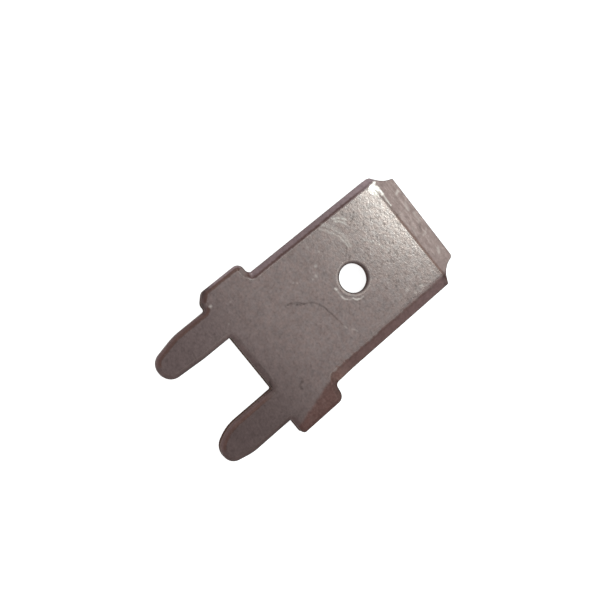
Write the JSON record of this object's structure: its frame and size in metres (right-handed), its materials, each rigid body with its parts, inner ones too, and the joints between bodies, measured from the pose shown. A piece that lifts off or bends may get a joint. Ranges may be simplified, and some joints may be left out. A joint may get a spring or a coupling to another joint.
{
  "type": "pcb blade terminal",
  "caption": "Flat stamped blade terminal with a detent hole, shoulders that seat on a circuit board and round-ended solder legs.",
  "frame": {"origin": "middle of the outline's box, on the back face that the terminal lies on", "axes": "+Y along the blade towards its tip, +Z out of the front face, +X across the strip"},
  "size_m": [0.008, 0.0142, 0.0008],
  "materials": {
    "tinned_brass": "dull tin plate on brass, handled and lightly scratched"
  },
  "bodies": {
    "root": {"blade_terminal": "tinned_brass"}
  },
  "joints": []
}
